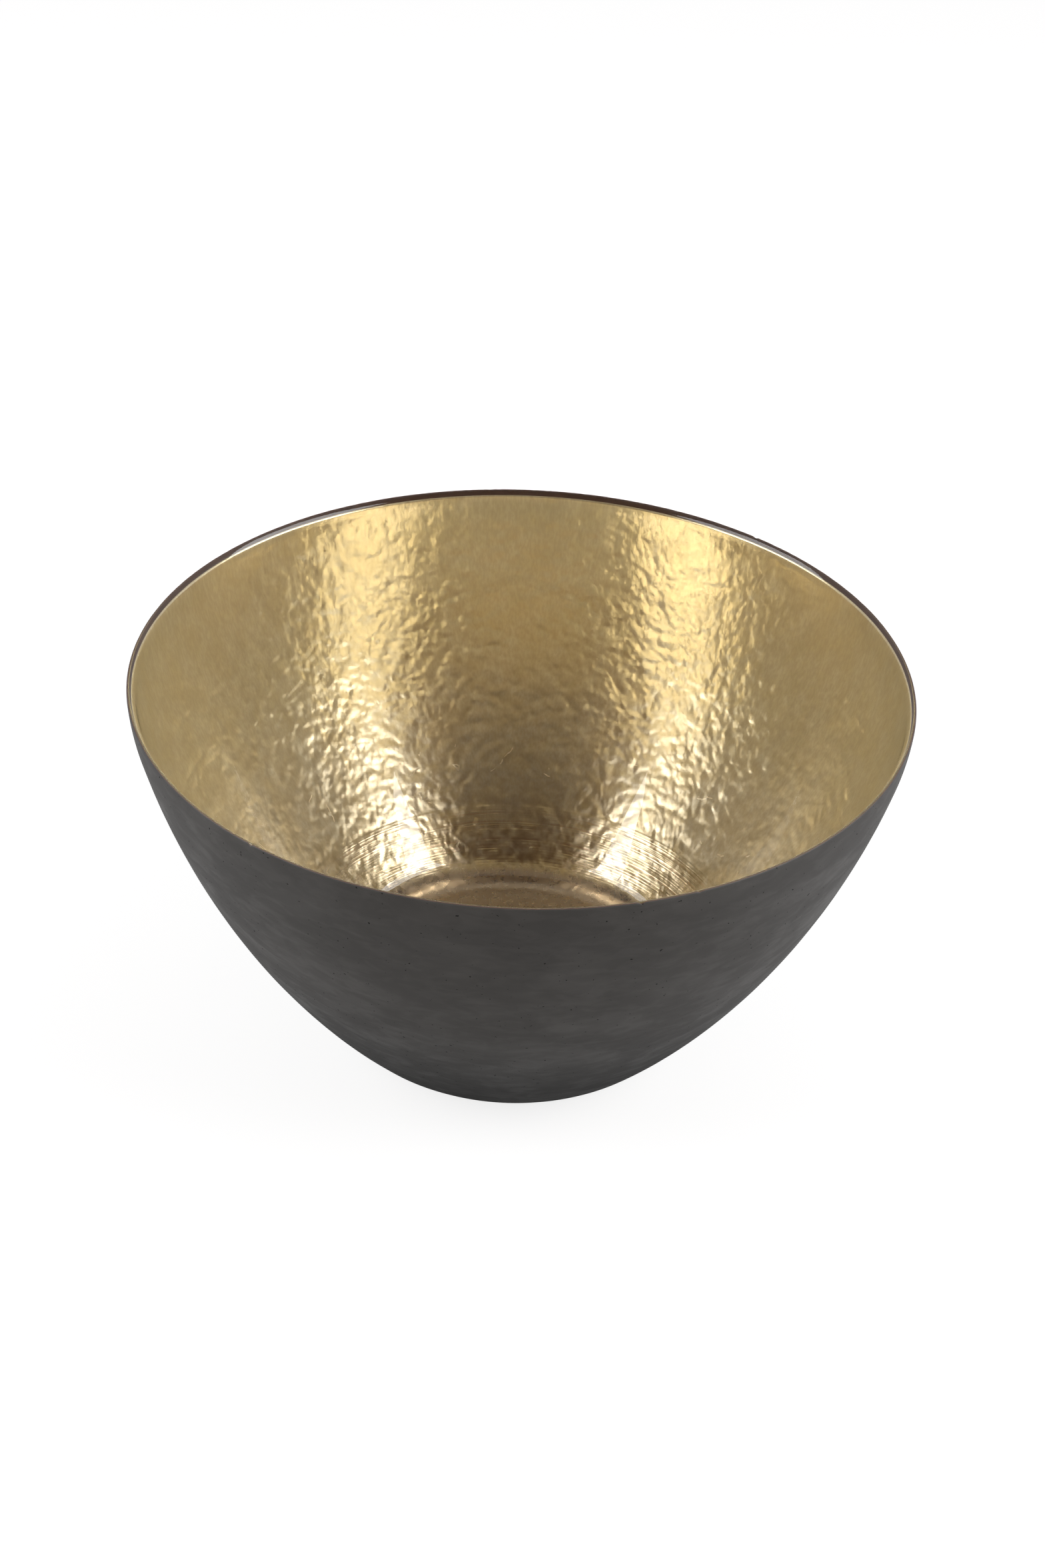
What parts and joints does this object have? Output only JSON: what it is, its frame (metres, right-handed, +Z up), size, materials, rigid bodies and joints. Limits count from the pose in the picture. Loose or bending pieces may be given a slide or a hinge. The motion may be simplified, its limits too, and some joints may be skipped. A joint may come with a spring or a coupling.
{
  "type": "gilded glass bowl",
  "caption": "Deep round display bowl: clear glass over a hammered gold leaf layer, dark satin lacquer outside, bare rounded rim, flat base.",
  "frame": {"origin": "centre of the flat underside, on the surface that the bowl stands on", "axes": "+Z up along the axis of the bowl, out of its mouth; X and Y are equal, because the bowl is round"},
  "size_m": [0.25, 0.25, 0.1308],
  "materials": {
    "clear_glass": "gloss",
    "hammered_gold_leaf": "polished",
    "anthracite_lacquer": "satin"
  },
  "bodies": {
    "root": {"glass_bowl": "clear_glass", "gold_leaf": "hammered_gold_leaf", "lacquer_coat": "anthracite_lacquer"}
  },
  "joints": []
}
